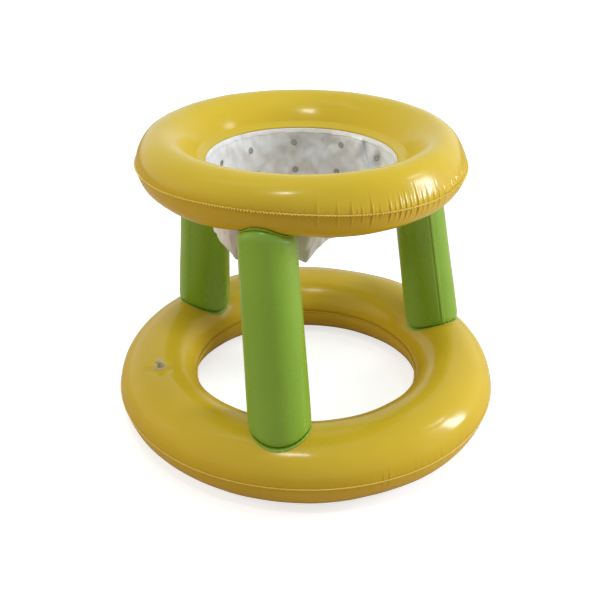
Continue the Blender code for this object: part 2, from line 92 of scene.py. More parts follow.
# The legs push the soft rings' seams out of level: angle and rise
SEAM_SPREAD = 0.030
SEAM_RISE = {
    "hoop": ((0.0, -0.0020), (60.0, 0.0), (190.0, 0.0), (215.0, 0.0020), (225.0, 0.0040),
             (235.0, 0.0062), (245.0, 0.0084), (258.0, 0.0082), (270.0, 0.0070),
             (280.0, 0.0040), (290.0, 0.0004), (300.0, -0.0020), (318.0, -0.0044),
             (335.0, -0.0040)),
    "base": ((0.0, 0.0), (235.0, 0.0), (250.0, 0.0020), (265.0, 0.0030), (290.0, 0.0020),
             (310.0, 0.0)),
}
SEAM_BLUR = (-6.0, -3.0, 0.0, 3.0, 6.0)

# Where the hoop's outer weld is gathered, the film beside it is drawn flatter
SEAM_PULL = 0.0034
SEAM_PULL_REACH = 0.062
SEAM_PULL_ELSEWHERE = 0.35
GATHERED_MIDDLE = 341.0
GATHERED_HALF = 74.0
GATHERED_EDGE = 4.0

# Puckers at the outer welds: a ridge, the valley on one side of it and the swelling on
# the other, each as offset, width and share of the height
PUCKER_HEIGHT = 0.00105
PUCKER_HALF_TURN = 1.6
PUCKER_PARTS = ((0.0, 0.0012, 1.0), (-0.0030, 0.0020, -0.45), (0.0040, 0.0030, 0.2))
# The hoop's puckers in front follow the photograph: angle, reach and strength
FRONT_PUCKERS = (
    (269.3, 0.006, 0.5), (271.6, 0.007, 0.5), (273.0, 0.005, 0.4), (274.9, 0.017, 1.3),
    (280.9, 0.012, 1.0), (285.2, 0.013, 1.2), (287.1, 0.006, 0.6), (288.5, 0.009, 0.8),
    (291.7, 0.017, 1.2), (294.5, 0.008, 0.7), (297.9, 0.015, 1.1), (299.8, 0.010, 0.9),
    (301.7, 0.015, 1.2), (303.9, 0.016, 1.2), (305.8, 0.014, 1.0), (308.7, 0.018, 1.3),
    (311.0, 0.010, 0.9), (313.2, 0.013, 1.0), (316.1, 0.011, 0.9), (318.9, 0.014, 1.1),
    (322.4, 0.009, 0.8),
)

# Unevenness of the rings' film: scale and depth
SLOW_SWELL = (11.0, 0.0010)
FINE_SWELL = (27.0, 0.0004)
SWELL_FROM_WELD = 0.03
SWELL_INNER_SHARE = 0.96
CALM_OVER_FLOOR = 0.01
# Bulges of the hoop's upper film: angle, distance from the middle, height and width
HOOP_BULGES = ((136.0, 0.1870, 0.0006, 0.0140),)

# Legs
LEG_FOOT_ANGLES = {"front": 261.0, "right": 21.5, "left": 141.5}
LEG_TOP_ANGLES = {"front": 257.5, "right": 28.5, "left": 140.8}
LEG_SEAM_ANGLES = {"front": 214.0, "right": 286.0, "left": 232.0}
LEG_FOOT_INSET = 0.0098
LEG_FOOT_RADIUS = 0.0495
LEG_TOP_RADIUS = 0.0415
FOOT_DRAW_IN = 0.0085
TOP_DRAW_IN = 0.0065
FOOT_SHOULDER = 0.0140
TOP_SHOULDER = 0.0130
SHOULDER_POWER = 2.4
LEG_END_FADE = 0.012
LEG_SWELL = 0.0006
LEG_SWELL_SCALE = 14.0
LEG_SWELL_SPREAD = 0.05
# The lap seam along a leg
SEAM_RIDGE = 0.0022
SEAM_RIDGE_WIDTH = 0.0120
SEAM_GROOVE = 0.0011
SEAM_GROOVE_OFFSET = 0.0012
SEAM_GROOVE_WIDTH = 0.0010
SEAM_LAP = 0.0004
SEAM_LAP_WIDTH = 0.0060
# The welded discs at a leg's ends: their edge, as offsets from its radius and heights
FOOT_RIM_RADIUS = 0.0486
TOP_RIM_RADIUS = 0.0388
LEG_RIM_TUCK = 0.004
LEG_RIM_BACK = 0.0010
LEG_RIM_EDGE = ((-0.0030, 0.0009), (-0.0016, 0.0016), (-0.0004, 0.0014), (0.0, 0.0006),
                (0.0, 0.0))
LEG_RIM_WAVE = 0.25
LEG_RIM_WAVES = 31.0

# Net skirt
SHEET_FILM = 0.0004
SKIRT_DROP = 0.1420
SKIRT_TAPER = 0.0100
SKIRT_WELD_REACH = 0.0110
SKIRT_WELD_RISE = 0.0027
# Its bend lies just outside the weld's edge and just under the drooping weld
BEND_BEHIND = 0.0004
BEND_UNDER = 0.0007
BEND_DROOP_SHARE = 0.97
# Height of the hem: angle and share of the longest drop
HEM_DROP = (
    (0.0, 0.660), (20.0, 0.695), (60.0, 0.765), (95.0, 0.835), (130.0, 0.885),
    (160.0, 0.835), (190.0, 0.800), (209.0, 0.863), (222.0, 0.935), (240.0, 1.000),
    (255.0, 0.920), (267.0, 0.790), (273.0, 0.807), (280.0, 0.680), (288.0, 0.580),
    (320.0, 0.580),
)
# Main folds: angle, half width in degrees, and depth at the hem as a share of the radius
FOLDS = (
    (133.0, 9.0, -0.045), (146.0, 9.0, 0.020), (39.0, 9.0, -0.090), (54.0, 10.0, 0.030),
    (273.0, 8.0, 0.060), (261.0, 9.0, -0.055), (236.0, 14.0, 0.030), (222.0, 9.0, -0.025),
    (96.0, 14.0, 0.025), (80.0, 9.0, -0.030), (180.0, 16.0, 0.020), (325.0, 36.0, -0.100),
)
# Creases: angle, width in degrees, where they start and end down the sheet, and depth
CREASE_FADE = 0.08
CREASES = (
    (133.0, 1.3, 0.04, 0.50, 0.0026), (154.0, 2.4, 0.22, 0.42, 0.0022),
    (93.0, 3.0, 0.16, 0.36, 0.0016), (79.0, 2.2, 0.05, 0.16, 0.0014),
    (71.0, 2.6, 0.08, 0.22, 0.0016), (110.0, 2.8, 0.10, 0.75, 0.0014),
    (31.0, 2.2, 0.12, 0.40, 0.0014), (182.0, 3.0, 0.10, 0.80, 0.0016),
)
# The sheet's unevenness: scale, depth, and how fast it comes in down the sheet
SHEET_SWELLS = ((1.9, 0.0045, None), (4.6, 0.0034, 4.0), (9.5, 0.0012, 6.0))
SHEET_GATHER = 0.0022
# The line along which the sheet's two ends lap, and how much of the sheet follows it
LAP_ANGLE = 45.7
LAP_SLANT = 27.6
LAP_TOP = 0.107
LAP_SPREAD = 42.0
LAP_TUCK = 1.5
LAP_TUCK_WIDTH = 2.4
LAP_STEP = 0.0042
LAP_STEP_WIDTH = 9.0
LAP_FROM = 0.03
LAP_GROWTH = 0.08
# The bright welded edge: its depth, its lean and its waves
BAND_DEPTH = 0.0086
BAND_LEAN = 0.0006
BAND_WAVES = 23.0
BAND_STAND_OFF = 0.0004
BAND_THICKNESS = 0.0006
# Punched holes: depth and first angle of each row, and the shifts of single holes
HOLE_RADIUS = 0.0055
HOLES_ROUND = 12
HOLE_ROWS = ((0.0270, 32.0), (0.0760, 32.0))
HOLE_SHIFTS = {
    (0, 0): (-0.3, 0.0020), (0, 1): (0.6, -0.0030), (0, 2): (3.2, -0.0010),
    (0, 3): (4.8, 0.0040), (0, 4): (2.0, 0.0090), (1, 1): (3.2, -0.0010),
    (1, 2): (2.3, 0.0), (1, 8): (-4.0, -0.0160),
}
HOLE_LOWEST = 0.93
# The punches' middle and length, as shares of the sheet's top radius
PUNCH_MIDDLE = 0.75
PUNCH_LENGTH = 0.8
# Steps along and down the sheet, from which a rim takes its slant
RIM_TURN = 0.6
RIM_SHARE = 0.02
# Section of the grey disc round each hole, as radius and height: painted shade for the shade
# seen through the hole
HOLE_SHADE_DISC = ((0.0004, -0.0005), (0.0056, -0.0005), (0.0059, 0.0), (0.0056, 0.0005),
            (0.0004, 0.0005))
# Painted shade on the sheet, where shade falls under the band, in folds, at the lap and on the
# front lobes: angle, half width, heights below the bend, and tone
PAINTED_SHADE_FADE = 0.010
SHEET_PAINTED_SHADES = (
    (74.0, 56.0, 0.014, 0.150, (0.78, 0.79, 0.82)),
    (93.0, 7.0, 0.020, 0.030, (0.62, 0.62, 0.64)),
    (84.0, 6.0, 0.008, 0.010, (0.66, 0.66, 0.68)),
    (72.0, 6.0, 0.010, 0.018, (0.60, 0.60, 0.62)),
    (104.0, 5.0, 0.034, 0.046, (0.70, 0.70, 0.72)),
    (44.0, 4.0, 0.010, 0.030, (0.60, 0.60, 0.62)),
    (31.0, 4.5, 0.024, 0.036, (0.52, 0.52, 0.54)),
    (236.0, 22.0, 0.000, 0.150, (0.35, 0.27, 0.21)),
    (272.0, 14.0, 0.000, 0.150, (0.70, 0.68, 0.63)),
)

# Valves: where they are, on which side of their ring, and the film round them
VALVE_ANGLES = {"base": 201.0, "hoop": 81.0}
VALVE_SIDES = (("base", 1), ("hoop", -1))
VALVE_HOLE = 0.0061
VALVE_PUNCH_DEPTH = 0.008
DIMPLE_DEPTH = 0.0022
DIMPLE_DISTANCE = 0.0165
DIMPLE_WIDTH = 0.0050
SHARP_EDGE = 40.0
TAB_ROUNDING = 0.3
# Their sections, as radius and height over the ring's face
COLLAR_PROFILE = (
    (0.0049, -0.0040), (0.0060, -0.0040), (0.0062, -0.0016), (0.0066, -0.0008),
    (0.0098, -0.0010), (0.0104, -0.0004), (0.0102, 0.0001), (0.0086, 0.0008),
    (0.0072, 0.0013), (0.0060, 0.0016), (0.0052, 0.0016), (0.0049, 0.0013),
)
STEM_PROFILE = (
    (0.0028, -0.0094), (0.0044, -0.0094), (0.0046, -0.0091), (0.0046, 0.0086),
    (0.0048, 0.0092), (0.0053, 0.0094), (0.0056, 0.0097), (0.0056, 0.0103),
    (0.0053, 0.0106), (0.0031, 0.0106), (0.0028, 0.0103),
)
PLUG_PROFILE = (
    (0.0, 0.00775), (0.0015, 0.00775), (0.0019, 0.00805), (0.0024, 0.01040),
    (0.0025, 0.01090), (0.0061, 0.01090), (0.0065, 0.01120), (0.0065, 0.01190),
    (0.0062, 0.01260), (0.0055, 0.01380), (0.0044, 0.01500), (0.0029, 0.01590),
    (0.0013, 0.01630), (0.0, 0.01635),
)
FLAP_PROFILE = (
    (0.0, -0.01020), (0.0037, -0.01020), (0.0040, -0.01005), (0.0040, -0.00985),
    (0.0037, -0.00970), (0.0, -0.00970),
)
# The two halves of the plug's strap, as low and high corner
EAR_BOX = ((0.0044, -0.0020, 0.0097), (0.0083, 0.0020, 0.0106))
STRAP_BOX = ((0.0058, -0.0020, 0.0112), (0.0086, 0.0020, 0.0121))

# Films: two tones, gloss where new and where dulled, swell, ripple and sheen
FILMS = {
    "yellow_film": ((0.6, 0.405, 0.02), (0.65, 0.445, 0.026), 0.18, 0.27, 0.12, 0.06, 0.24),
    # The weld film is painted lighter and paler than the yellow film: a painted highlight for
    # the light that catches the top of the outer welds.
    "weld_film_painted_highlight": ((0.69, 0.48, 0.075), (0.76, 0.54, 0.095), 0.24, 0.34, 0.02, 0.05, 0.3),
    "green_film": ((0.205, 0.39, 0.024), (0.235, 0.43, 0.03), 0.27, 0.36, 0.06, 0.08, 0.5),
    "white_sheet": ((0.93, 0.94, 0.965), (0.955, 0.965, 0.99), 0.3, 0.45, 0.08, 0.3, 0.35),
    "white_band": ((0.91, 0.925, 0.965), (0.935, 0.95, 0.985), 0.25, 0.35, 0.08, 0.2, 0.4),
    # The hole discs' grey is painted shade for the shade seen through the holes.
    "hole_shade_disc": ((0.33, 0.325, 0.31), (0.4, 0.39, 0.37), 0.35, 0.5, 0.05, 0.1, 0.35),
    "valve_vinyl": ((0.44, 0.37, 0.18), (0.52, 0.45, 0.24), 0.28, 0.4, 0.02, 0.05, 0.5),
}
VINYL_IOR = 1.53
TONE_SCALE = 5.0
MARK_SCALE = 13.0
SWELL_SCALE = 8.0
RIPPLE_SCALE = 85.0

# Floor and light. Distances on the floor run from the part's middle.
FLOOR_HALF = 6.0
FLOOR_WARM = (0.68, 0.52, 0.41, 1.0)
FLOOR_SEEN = (0.55, 0.55, 0.55, 1.0)
FLOOR_GLOW = {"From Min": 0.7, "From Max": 2.2, "To Min": 0.70, "To Max": 1.0}
WHITE = (1.0, 1.0, 1.0, 1.0)
SOFT_LIGHT = 0.30
LAMP_AIM = Vector((0.0, 0.0, 0.3))
PLAIN = (1.0, 1.0, 1.0)
# Lamps: azimuth, elevation, distance, width, height, level, tint, and whether the film
# mirrors them
LAMPS = {
    "ceiling_lamp": (-101.0, 65.0, 3.0, 0.42, 0.16, 0.15, PLAIN, True),
    "window": (1.0, 17.0, 3.0, 0.50, 1.20, 0.54, (0.93, 1.0, 1.18), True),
    "high_window": (6.0, 36.0, 3.0, 0.30, 0.16, 0.06, PLAIN, True),
    "ceiling_tube": (177.0, 70.0, 2.9, 0.04, 1.50, 0.03, PLAIN, True),
    "overhead_box": (0.0, 88.0, 3.0, 1.8, 1.8, 0.34, (0.88, 1.17, 1.12), False),
    "left_box": (-174.0, 20.0, 3.0, 0.9, 0.9, 0.27, (1.0, 0.93, 0.80), False),
    "right_low_box": (-12.0, 6.0, 3.0, 1.8, 1.8, 0.18, (1.0, 1.0, 1.05), False),
}

# Camera, fitted to the photograph of 600 by 600 pixels
PICTURE = 600.0
SENSOR = 36.0
FOCAL_PIXELS = 807.1
SHIFT_PIXELS = -2.85
CAMERA_PLACE = (-0.0064, -1.2471, 0.8958)
CAMERA_PITCH = 0.5099
CAMERA_ROLL = 0.0064
CLIP_START = 0.05


# Angles and places

def turn_between(angle, other):
    """The turn from one angle to another, from -180 to 180 degrees."""
    return (angle - other + 180.0) % 360.0 - 180.0


def direction(angle):
    """The level direction at an angle."""
    turn = math.radians(angle)
    return Vector((math.cos(turn), math.sin(turn), 0.0))


def away_from(places, angle, distance):
    """How far places lie in plan from the place at an angle and a distance."""
    turn = math.radians(angle)
    return np.hypot(places[:, 0] - distance * math.cos(turn),
                    places[:, 1] - distance * math.sin(turn))


class Ring:
    """A blown-up ring: where its middle is and how its section runs. One that rests
    is flat where it lies on the floor; press is how far the legs press it up."""

    def __init__(self, name, outer, inner, half, rests, press):
        low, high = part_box(f"{name}_ring_upper_skin")
        self.name = name
        self.outer, self.inner, self.half = outer, inner, half
        self.rests, self.press = rests, press
        self.centre = Vector(((low.x + high.x) / 2, (low.y + high.y) / 2,
                              high.z - half - WELD_BACK))
        self.crest = (high.x - low.x) / 2 - RIM - outer

    def section(self, side, turn):
        """Radius and height of the film's outer face; the turn runs from 0 at the
        outer weld over the crest to pi at the inner weld."""
        if turn <= math.pi / 2:
            radius = self.crest + self.outer * math.cos(turn)
            rise = math.sin(turn)
        else:
            radius = self.crest + self.inner * math.cos(turn)
            rise = math.sin(turn) ** 2 if self.press else math.sin(turn)
        height = WELD_BACK + self.half * rise
        if side < 0 and self.rests:
            floor = self.centre.z
            over = (height - floor + REST_BLEND) / (2 * REST_BLEND)
            if over > 0.0:
                height -= REST_BLEND / 2 * over ** 2
            if over >= 2.0 or height > floor:
                height = floor
        return radius, side * height

    def lift(self, x, y):
        """How far the legs press the soft underside up."""
        across = math.hypot(x, y)
        reach = self.outer if across > self.crest else self.inner
        share = max(0.0, 1.0 - ((across - self.crest) / reach) ** 2)
        angle = math.degrees(math.atan2(y, x))
        total = 0.0
        for leg_angle in LEG_TOP_ANGLES.values():
            total += math.exp(-(turn_between(angle, leg_angle) / PRESS_SPREAD) ** 2)
        return self.press * share * total

    def height(self, side, x, y):
        """Height of the film's face over a place in plan."""
        across = math.hypot(x - self.centre.x, y - self.centre.y)
        offset = across - self.crest
        share = min(1.0, abs(offset) / (self.outer if offset > 0 else self.inner))
        rise = 1.0 - share ** 2 if (self.press and offset < 0) else math.sqrt(1.0 - share ** 2)
        level = side * (WELD_BACK + self.half * rise)
        if side < 0:
            level += self.lift(x - self.centre.x, y - self.centre.y)
        return self.centre.z + level


base_ring = Ring("base", BASE_REACH, BASE_REACH, BASE_HALF, True, 0.0)
hoop_ring = Ring("hoop", HOOP_OUTER_REACH, HOOP_INNER_REACH, HOOP_HALF, False, PRESS_DEPTH)
skirt_top_radius = hoop_ring.crest - hoop_ring.inner - HOOP_INNER_WELD + BEND_BEHIND
skirt_bend = -(WELD_BACK + HOOP_DROOP * BEND_DROOP_SHARE) - BEND_UNDER


def from_hoop_axis(point):
    """The level direction from the hoop's middle line to a point."""
    return Vector((point.x - hoop_ring.centre.x, point.y - hoop_ring.centre.y, 0.0))


# Node groups and materials

def add_node(tree, kind, values=None, **settings):
    """A shader node, with its settings and then the values of its sockets."""
    node = tree.nodes.new("ShaderNode" + kind)
    for word, setting in settings.items():
        setattr(node, word, setting)
    for word, value in (values or {}).items():
        node.inputs[word].default_value = value
    return node


def wire(tree, *lines):
    """Links from a node's output to a node's input, one for each line."""
    for source, output, target, entry in lines:
        tree.links.new(source.outputs[output], target.inputs[entry])


def new_group(name, inputs, output, kind):
    """A shader node group with its named inputs and one output."""
    group = bpy.data.node_groups.new(name, "ShaderNodeTree")
    for label, value in inputs.items():
        word = "NodeSocketFloat" if isinstance(value, float) else "NodeSocketColor"
        socket = group.interface.new_socket(name=label, in_out="INPUT", socket_type=word)
        socket.default_value = value
    group.interface.new_socket(name=output, in_out="OUTPUT", socket_type=kind)
    return group, group.nodes.new("NodeGroupInput"), group.nodes.new("NodeGroupOutput")


def make_film_waves():
    """Slow swells and fine ripples of blown-up film, as a bent normal."""
    group, given, result = new_group(
        "film_waves", {"Swell Scale": 9.0, "Swell": 0.1, "Ripple Scale": 90.0, "Ripple": 0.05},
        "Normal", "NodeSocketVector")
    place = add_node(group, "TexCoord")
    swell = add_node(group, "TexNoise", {"Detail": 2.0, "Roughness": 0.4})
    ripple = add_node(group, "TexNoise", {"Detail": 3.0, "Roughness": 0.5})
    first = add_node(group, "Bump", {"Distance": 0.004})
    second = add_node(group, "Bump", {"Distance": 0.0006})
    wire(group,
         (place, "Object", swell, "Vector"), (place, "Object", ripple, "Vector"),
         (given, "Swell Scale", swell, "Scale"), (given, "Ripple Scale", ripple, "Scale"),
         (given, "Swell", first, "Strength"), (given, "Ripple", second, "Strength"),
         (swell, "Fac", first, "Height"), (ripple, "Fac", second, "Height"),
         (first, "Normal", second, "Normal"), (second, "Normal", result, "Normal"))
    return group


def spread_noise(group, given, detail, roughness, low, high):
    """Noise at a group's scale, with the levels from low to high spread to 0 to 1."""
    place = add_node(group, "TexCoord")
    cloud = add_node(group, "TexNoise", {"Detail": detail, "Roughness": roughness})
    spread = add_node(group, "MapRange", {"From Min": low, "From Max": high})
    wire(group, (place, "Object", cloud, "Vector"), (given, "Scale", cloud, "Scale"),
         (cloud, "Fac", spread, "Value"))
    return spread


def make_tone_drift():
    """Slow drift between two tones, with a finer cloudiness in it."""
    group, given, result = new_group(
        "tone_drift", {"Tone A": (0.5, 0.5, 0.5, 1.0), "Tone B": (0.6, 0.6, 0.6, 1.0),
                       "Scale": 6.0}, "Color", "NodeSocketColor")
    spread = spread_noise(group, given, 4.0, 0.55, 0.3, 0.7)
    mix = add_node(group, "Mix", data_type="RGBA")
    wire(group, (spread, "Result", mix, "Factor"), (given, "Tone A", mix, "A"),
         (given, "Tone B", mix, "B"), (mix, "Result", result, "Color"))
    return group


def make_handling_marks():
    """Patches where fingers and folding have dulled the gloss."""
    group, given, result = new_group(
        "handling_marks", {"Gloss": 0.18, "Dulled": 0.3, "Scale": 14.0},
        "Roughness", "NodeSocketFloat")
    spread = spread_noise(group, given, 5.0, 0.6, 0.48, 0.72)
    wire(group, (given, "Gloss", spread, "To Min"), (given, "Dulled", spread, "To Max"),
         (spread, "Result", result, "Roughness"))
    return group


film_waves = make_film_waves()
tone_drift = make_tone_drift()
handling_marks = make_handling_marks()


def make_film(name, tone_a, tone_b, gloss, dulled, swell, ripple, sheen):
    """Glossy vinyl film."""
    material = bpy.data.materials.new(name)
    material.use_nodes = True
    tree = material.node_tree
    shader = tree.nodes["Principled BSDF"]
    tone = add_node(tree, "Group", {"Tone A": (*tone_a, 1.0), "Tone B": (*tone_b, 1.0),
                                    "Scale": TONE_SCALE}, node_tree=tone_drift)
    marks = add_node(tree, "Group", {"Gloss": gloss, "Dulled": dulled, "Scale": MARK_SCALE},
                     node_tree=handling_marks)
    waves = add_node(tree, "Group", {"Swell Scale": SWELL_SCALE, "Swell": swell,
                                     "Ripple Scale": RIPPLE_SCALE, "Ripple": ripple},
                     node_tree=film_waves)
    wire(tree, (tone, "Color", shader, "Base Color"), (marks, "Roughness", shader, "Roughness"),
         (waves, "Normal", shader, "Normal"))
    shader.inputs["IOR"].default_value = VINYL_IOR
    shader.inputs["Specular IOR Level"].default_value = sheen
    return material


def paint_sheet_shade(material):
    """Multiplies the sheet's colour by the painted shade stored in its mesh."""
    tree = material.node_tree
    colour = tree.nodes["Principled BSDF"].inputs["Base Color"]
    stored = add_node(tree, "Attribute", attribute_name="sheet_painted_shade")
    mix = add_node(tree, "Mix", data_type="RGBA", blend_type="MULTIPLY")
    mix.inputs["Factor"].default_value = 1.0
    tree.links.new(colour.links[0].from_socket, mix.inputs["A"])
    tree.links.new(stored.outputs["Color"], mix.inputs["B"])
    tree.links.new(mix.outputs["Result"], colour)


films = {name: make_film(name, *values) for name, values in FILMS.items()}
paint_sheet_shade(films["white_sheet"])


# Making of pieces

def turned(section, steps, closed=True):
    """A new mesh: a chain of radii and heights, turned once round the Z axis. A fine
    one is spun as an eighth, which is then doubled three times and merged."""
    bm = bmesh.new()
    verts = [bm.verts.new((radius, 0.0, height)) for radius, height in section]
    edges = [bm.edges.new(pair) for pair in zip(verts, verts[1:])]
    if closed:
        edges.append(bm.edges.new((verts[-1], verts[0])))
    whole = steps < EIGHTHS_FROM
    bmesh.ops.spin(bm, geom=verts + edges, cent=(0.0, 0.0, 0.0), axis=(0.0, 0.0, 1.0),
                   angle=math.tau if whole else math.tau / 8,
                   steps=steps if whole else steps // 8, use_merge=whole,
                   use_duplicate=False)
    if whole:
        return bm
    for angle in (math.tau / 8, math.tau / 4, math.tau / 2):
        copied = bmesh.ops.duplicate(bm, geom=[*bm.verts, *bm.edges, *bm.faces])["geom"]
        bmesh.ops.rotate(bm, cent=(0.0, 0.0, 0.0), matrix=Matrix.Rotation(angle, 3, "Z"),
                         verts=[item for item in copied if isinstance(item, bmesh.types.BMVert)])
        bmesh.ops.remove_doubles(bm, verts=bm.verts, dist=MERGE)
    return bm


def add_object(name, bm):
    """A mesh object in the scene."""
    mesh = bpy.data.meshes.new(name)
    bm.to_mesh(mesh)
    bm.free()
    made = bpy.data.objects.new(name, mesh)
    bpy.context.collection.objects.link(made)
    return made


def add_piece(name, bm, film, replaced=(), body="hoop", outwards=None):
    """A finished mesh becomes a piece of the part. For an open face, outwards says
    which way its middle face must point."""
    bmesh.ops.recalc_face_normals(bm, faces=bm.faces)
    if outwards:
        bm.faces.ensure_lookup_table()
        face = bm.faces[len(bm.faces) // 2]
        if face.normal.dot(outwards(face.calc_center_median())) < 0.0:
            bmesh.ops.reverse_faces(bm, faces=bm.faces)
    piece = add_object(name, bm)
    piece.data.shade_smooth()
    piece.data.materials.append(films[film])
    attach(piece, body)
    if replaced:
        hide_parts(*replaced)
    return piece


def add_wall(piece, thickness, offset=-1.0):
    """Gives an open face its thickness."""
    wall = piece.modifiers.new("wall", "SOLIDIFY")
    wall.thickness = thickness
    wall.offset = offset


def punch(piece, punches):
    """Cuts the shapes of a mesh out of a piece, and keeps the result as its mesh."""
    cutter = add_object("punch", punches)
    holes = piece.modifiers.new("holes", "BOOLEAN")
    holes.operation = "DIFFERENCE"
    holes.object = cutter
    holes.solver = "EXACT"
    bpy.context.view_layer.update()
    depsgraph = bpy.context.evaluated_depsgraph_get()
    finished = bpy.data.meshes.new_from_object(piece.evaluated_get(depsgraph))
    piece.modifiers.clear()
    piece.data = finished
    bpy.data.objects.remove(cutter)


def mesh_places(bm):
    """The vertices' places as an array."""
    return np.array([vert.co for vert in bm.verts])


def set_places(bm, places, centre):
    """Puts the vertices at places round a ring's middle."""
    for vert, place in zip(bm.verts, places + np.array(centre)):
        vert.co = place


# Rings

def hoop_puckers():
    """Creases of the hoop's outer weld: as photographed in front, dense from there
    round to 180 degrees, and rare and faint beyond."""
    marks = list(FRONT_PUCKERS)
    dice = random.Random(31)
    angle = 325.0
    while angle < 540.0:
        marks.append((angle % 360.0, dice.uniform(0.006, 0.017), dice.uniform(0.6, 1.2)))
        angle += dice.uniform(1.6, 4.6)
    while angle < 628.0:
        if dice.random() < 0.3:
            marks.append((angle % 360.0, dice.uniform(0.004, 0.008), 0.35))
        angle += dice.uniform(1.8, 4.0)
    return marks


def base_puckers():
    """Fainter creases of the base ring's outer weld, clearer on its right."""
    dice = random.Random(77)
    marks = []
    angle = 0.0
    while angle < 360.0:
        strong = 0.75 if angle < 70.0 or angle > 285.0 else 0.45
        marks.append((angle, dice.uniform(0.006, 0.020), dice.uniform(0.3, 1.0) * strong))
        angle += dice.uniform(1.4, 4.2)
    return marks


def pucker_rise(marks, angles, along, radius):
    """Height of the creases at angles and at lengths from the weld."""
    total = np.zeros_like(angles)
    for angle, reach, strength in marks:
        away = turn_between(angles, angle)
        near = np.abs(away) < PUCKER_HALF_TURN
        if not near.any():
            continue
        across = np.radians(away[near]) * radius
        fade = np.exp(-(along[near] / reach) ** 2)
        form = sum(share * np.exp(-((across - offset) / width) ** 2)
                   for offset, width, share in PUCKER_PARTS)
        total[near] += PUCKER_HEIGHT * strength * fade * form
    return total


def seam_rise_at(ring, angles):
    """Rise of a ring's outer seam at angles."""
    where, rises = zip(*SEAM_RISE[ring.name])
    smooth = np.zeros_like(angles)
    for shift in SEAM_BLUR:
        smooth += np.interp(angles + shift, where, rises, period=360.0) / len(SEAM_BLUR)
    return smooth


def seam_pull(angles, along):
    """How much flatter the hoop's film is drawn beside its gathered weld."""
    away = np.abs(turn_between(angles, GATHERED_MIDDLE))
    gathered = 1.0 / (1.0 + np.exp((away - GATHERED_HALF) / GATHERED_EDGE))
    share = SEAM_PULL_ELSEWHERE + (1.0 - SEAM_PULL_ELSEWHERE) * gathered
    rise = np.clip(along / SEAM_PULL_REACH, 0.0, 1.0)
    return -SEAM_PULL * share * np.sin(math.pi * rise ** 0.8) ** 1.5


def bulge_rise(places):
    """Local unevenness of the hoop's film, where a light catches it."""
    total = np.zeros(len(places))
    for angle, distance, height, width in HOOP_BULGES:
        total += height * np.exp(-(away_from(places, angle, distance) / width) ** 2)
    return total


def slow_swell(places, scale, depth):
    """Unevenness of soft film, smooth over several centimetres."""
    return np.array([noise.noise(Vector(place) * scale) for place in places]) * depth


def valve_dimple(ring, places):
    """The film sags in a ring round the stiffer valve."""
    away = away_from(places, VALVE_ANGLES[ring.name], ring.crest)
    return DIMPLE_DEPTH * np.exp(-((away - DIMPLE_DISTANCE) / DIMPLE_WIDTH) ** 2)


def valve_frame(ring, side):
    """Place and axes of a ring's valve, in its crest line."""
    outward = direction(VALVE_ANGLES[ring.name])
    place = ring.centre + ring.crest * outward
    place.z = ring.height(side, place.x, place.y)
    up = Vector((0.0, 0.0, side))
    rotation = Matrix((outward, up.cross(outward), up)).transposed()
    return Matrix.Translation(place) @ rotation.to_4x4()


def film_loop(ring, side):
    """A film's closed section: its outer face, and behind it a plainer inner face."""
    even, growing = ROW_SHARES
    outline = []
    for row in range(RING_ROWS):
        share = row / (RING_ROWS - 1)
        outline.append(ring.section(side, math.pi * (even * share + growing * share ** 2)))
    if ring.press:
        edge = outline[-1][0]
        for share in (0.3, 0.65, 1.0):
            outline.append((edge - HOOP_INNER_WELD * share,
                            side * WELD_BACK - HOOP_DROOP * share))
    outer = np.array(outline)
    along = np.gradient(outer, axis=0)
    along /= np.linalg.norm(along, axis=1)[:, None]
    inner = outer - FILM * side * np.stack([along[:, 1], -along[:, 0]], axis=1)
    picked = sorted({*range(0, len(outer), INNER_STEP), len(outer) - 1}, reverse=True)
    return [*outer, *inner[picked]]


def blow_up(ring, side, marks, places):
    """Moves a film's places out of their plain section: puckers, swells, the seam
    out of level, the sag round a valve and what the legs press up."""
    upper = side > 0
    radius = np.hypot(places[:, 0], places[:, 1])
    angles = np.degrees(np.arctan2(places[:, 1], places[:, 0])) % 360.0
    out = (radius - ring.crest) / np.where(radius > ring.crest, ring.outer, ring.inner) ** 2
    up = places[:, 2] / ring.half ** 2
    length = np.hypot(out, up) + 1e-9
    out, up = out / length, up / length
    turn = np.arctan2(np.abs(places[:, 2]) / ring.half, (radius - ring.crest) / ring.outer)
    along = turn * (ring.outer + ring.half) / 2
    rise = pucker_rise(marks, angles, along, ring.crest + ring.outer)
    if ring.press and upper:
        rise += seam_pull(angles, along) + bulge_rise(places)
    body = np.clip(along / SWELL_FROM_WELD, 0.0, 1.0)
    body *= radius > ring.crest - ring.inner * SWELL_INNER_SHARE
    rise += slow_swell(places + ring.crest, *SLOW_SWELL) * body
    rise += slow_swell(places - ring.crest, *FINE_SWELL) * body
    if ring.rests and not upper:
        rise *= np.clip((places[:, 2] + ring.centre.z) / CALM_OVER_FLOOR, 0.0, 1.0)
    turned_by = np.radians(angles)
    places[:, 0] += rise * out * np.cos(turned_by)
    places[:, 1] += rise * out * np.sin(turned_by)
    places[:, 2] += rise * up
    near_seam = np.exp(-(along / SEAM_SPREAD) ** 2) * (radius > ring.crest)
    places[:, 2] += seam_rise_at(ring, angles) * near_seam
    if (ring.name, side) in VALVE_SIDES:
        places[:, 2] -= side * valve_dimple(ring, places)
    if ring.press and not upper:
        free = (places[:, 2] < -WELD_BACK * 1.5) & (radius > ring.crest - ring.inner)
        for index in np.nonzero(free)[0]:
            places[index, 2] += ring.lift(places[index, 0], places[index, 1])
    return places


